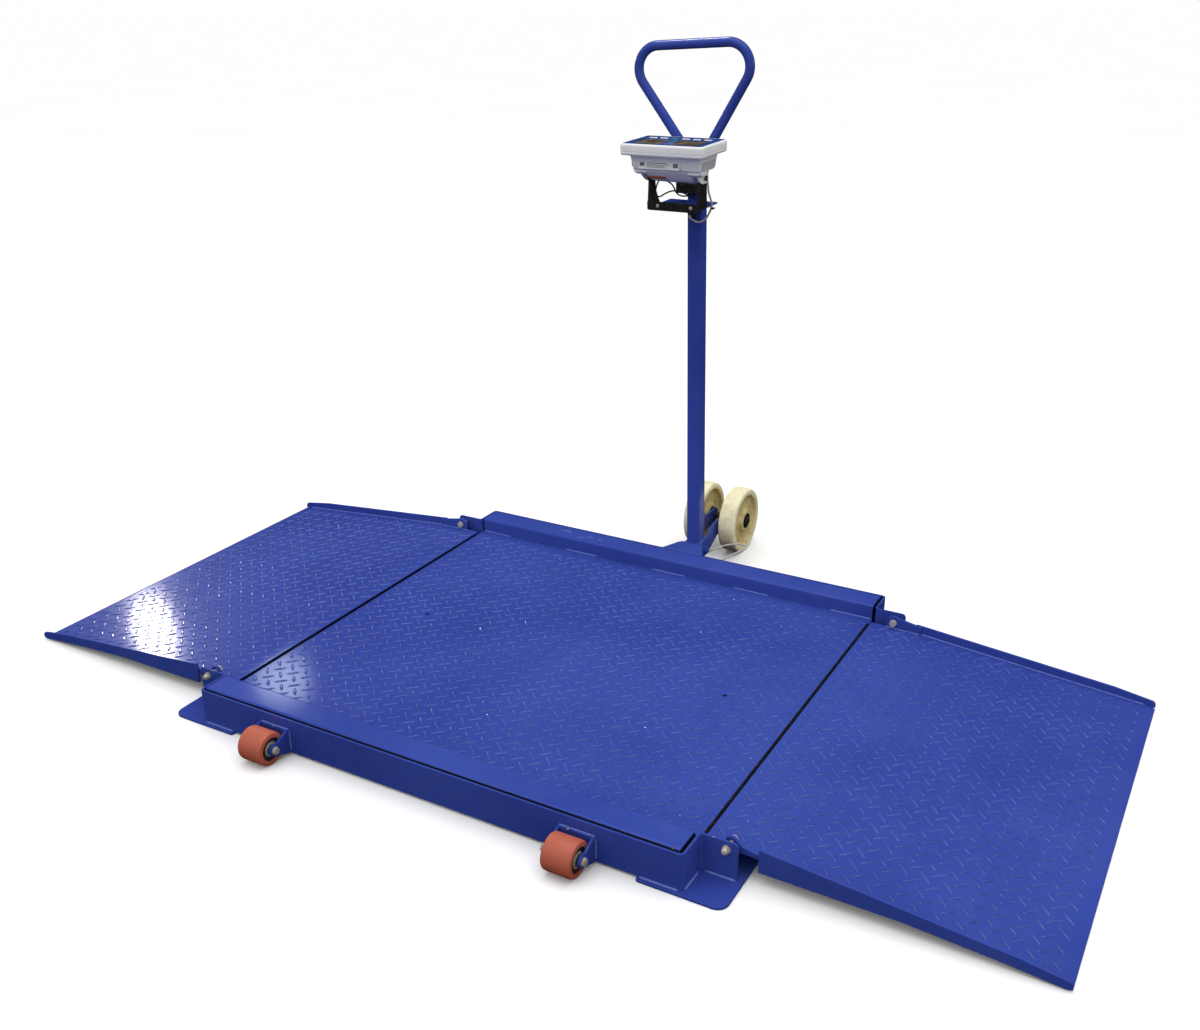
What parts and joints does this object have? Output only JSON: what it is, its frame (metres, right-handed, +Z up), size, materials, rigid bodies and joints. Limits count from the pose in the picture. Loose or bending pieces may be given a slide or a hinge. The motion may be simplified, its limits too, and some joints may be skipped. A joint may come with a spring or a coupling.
{
  "type": "mobile drive-through pallet scale",
  "caption": "Low mobile floor scale with a tread-plate deck between side beams, folding end ramps, front rollers and a wheeled lever pole carrying the weighing indicator.",
  "frame": {"origin": "middle of the bounding box, on the floor", "axes": "+X along the drive lane to the right ramp, +Y from the front rollers to the lever pole behind the deck, +Z up"},
  "size_m": [2.692, 1.7289, 1.5066],
  "materials": {
    "blue_paint": "gloss royal blue paint, tread pattern on the plates",
    "polyurethane": "cast polyurethane, terracotta red, satin",
    "roller_core": "black moulded core",
    "zinc_steel": "zinc plated fasteners and axle",
    "load_cell_alloy": "machined",
    "nylon": "cream cast nylon, slightly translucent look",
    "black_plastic": "black moulded plastic, fine texture",
    "housing_plastic": "light grey ABS, fine texture",
    "panel_film": "dark blue membrane with two display windows",
    "key_white": "whitish embossed key",
    "key_green": "green embossed key",
    "grey_cable": "light grey PVC jacket",
    "black_cable": "black PVC jacket"
  },
  "bodies": {
    "base": {"front_side_channel": "blue_paint", "rear_side_channel": "blue_paint", "hitch_bracket": "blue_paint", "hitch_pin": "zinc_steel", "rear_cable_gland": "black_plastic", "junction_box": "load_cell_alloy", "deck_plate": "blue_paint", "front_cover": "blue_paint", "rear_cover": "blue_paint", "foot_signal_cable": "grey_cable", "left_cross_plate": "blue_paint", "left_roller_fork": "blue_paint", "left_roller_axle": "zinc_steel", "left_front_load_cell": "load_cell_alloy", "left_rear_load_cell": "load_cell_alloy", "left_front_hinge_bolt": "zinc_steel", "left_rear_hinge_bolt": "zinc_steel", "right_cross_plate": "blue_paint", "right_roller_fork": "blue_paint", "right_roller_axle": "zinc_steel", "right_front_load_cell": "load_cell_alloy", "right_rear_load_cell": "load_cell_alloy", "right_front_hinge_bolt": "zinc_steel", "right_rear_hinge_bolt": "zinc_steel"},
    "left_ramp": {"left_ramp_plate": "blue_paint", "left_ramp_front_kerb": "blue_paint", "left_ramp_rear_kerb": "blue_paint"},
    "left_roller": {"left_roller_tyre": "polyurethane", "left_roller_core": "roller_core"},
    "right_ramp": {"right_ramp_plate": "blue_paint", "right_ramp_front_kerb": "blue_paint", "right_ramp_rear_kerb": "blue_paint"},
    "right_roller": {"right_roller_tyre": "polyurethane", "right_roller_core": "roller_core"},
    "lever": {"pole": "blue_paint", "handle": "blue_paint", "left_axle_arm": "blue_paint", "right_axle_arm": "blue_paint", "axle": "zinc_steel", "shelf_plate": "blue_paint", "adapter_box": "black_plastic", "pole_cable_gland": "black_plastic", "indicator_bracket": "black_plastic", "head_signal_cable": "grey_cable", "upper_black_lead": "black_cable", "lower_black_lead": "black_cable"},
    "left_transport_wheel": {"left_wheel": "nylon", "left_wheel_hub": "black_plastic"},
    "right_transport_wheel": {"right_wheel": "nylon", "right_wheel_hub": "black_plastic"},
    "indicator": {"indicator_housing": "housing_plastic", "indicator_panel": "panel_film"},
    "key_1": {"panel_key_1": "key_white"},
    "key_2": {"panel_key_2": "key_white"},
    "key_3": {"panel_key_3": "key_green"},
    "key_4": {"panel_key_4": "key_white"},
    "key_5": {"panel_key_5": "key_white"},
    "key_6": {"panel_key_6": "key_white"},
    "left_knob": {"left_clamp_knob": "black_plastic"},
    "right_knob": {"right_clamp_knob": "black_plastic"}
  },
  "joints": [
    {"name": "left_ramp_hinge", "type": "hinge", "parent": "base", "child": "left_ramp", "pos_m": [-0.695, -0.1465, 0.075], "axis": [0, 1, 0], "range_deg": [0, 105]},
    {"name": "left_roller_spin", "type": "hinge", "parent": "base", "child": "left_roller", "pos_m": [-0.404, -0.8245, 0.04], "axis": [1, 0, 0], "continuous": true},
    {"name": "right_ramp_hinge", "type": "hinge", "parent": "base", "child": "right_ramp", "pos_m": [0.695, -0.1465, 0.075], "axis": [0, -1, 0], "range_deg": [0, 105]},
    {"name": "right_roller_spin", "type": "hinge", "parent": "base", "child": "right_roller", "pos_m": [0.404, -0.8245, 0.04], "axis": [1, 0, 0], "continuous": true},
    {"name": "pole_tilt", "type": "hinge", "parent": "base", "child": "lever", "pos_m": [0.02, 0.5805, 0.062], "axis": [-1, 0, 0], "range_deg": [0, 35], "deforming": ["foot_signal_cable"]},
    {"name": "left_wheel_spin", "type": "hinge", "parent": "lever", "child": "left_transport_wheel", "pos_m": [-0.0385, 0.7645, 0.1], "axis": [1, 0, 0], "continuous": true},
    {"name": "right_wheel_spin", "type": "hinge", "parent": "lever", "child": "right_transport_wheel", "pos_m": [0.0785, 0.7645, 0.1], "axis": [1, 0, 0], "continuous": true},
    {"name": "indicator_tilt", "type": "hinge", "parent": "lever", "child": "indicator", "pos_m": [0.02, 0.42056, 1.1751], "axis": [1, 0, 0], "range_deg": [-30, 30], "deforming": ["head_signal_cable", "upper_black_lead", "lower_black_lead"]},
    {"name": "key_1_press", "type": "slide", "parent": "indicator", "child": "key_1", "axis": [0, 0.0349, -0.9994], "range_m": [0, 0.001], "stiffness_N_per_m": 800},
    {"name": "key_2_press", "type": "slide", "parent": "indicator", "child": "key_2", "axis": [0, 0.0349, -0.9994], "range_m": [0, 0.001], "stiffness_N_per_m": 800},
    {"name": "key_3_press", "type": "slide", "parent": "indicator", "child": "key_3", "axis": [0, 0.0349, -0.9994], "range_m": [0, 0.001], "stiffness_N_per_m": 800},
    {"name": "key_4_press", "type": "slide", "parent": "indicator", "child": "key_4", "axis": [0, 0.0349, -0.9994], "range_m": [0, 0.001], "stiffness_N_per_m": 800},
    {"name": "key_5_press", "type": "slide", "parent": "indicator", "child": "key_5", "axis": [0, 0.0349, -0.9994], "range_m": [0, 0.001], "stiffness_N_per_m": 800},
    {"name": "key_6_press", "type": "slide", "parent": "indicator", "child": "key_6", "axis": [0, 0.0349, -0.9994], "range_m": [0, 0.001], "stiffness_N_per_m": 800},
    {"name": "left_knob_turn", "type": "hinge", "parent": "indicator", "child": "left_knob", "pos_m": [-0.063, 0.42056, 1.1751], "axis": [-1, 0, 0], "range_deg": [0, 180]},
    {"name": "right_knob_turn", "type": "hinge", "parent": "indicator", "child": "right_knob", "pos_m": [0.103, 0.42056, 1.1751], "axis": [1, 0, 0], "range_deg": [0, 180]}
  ]
}
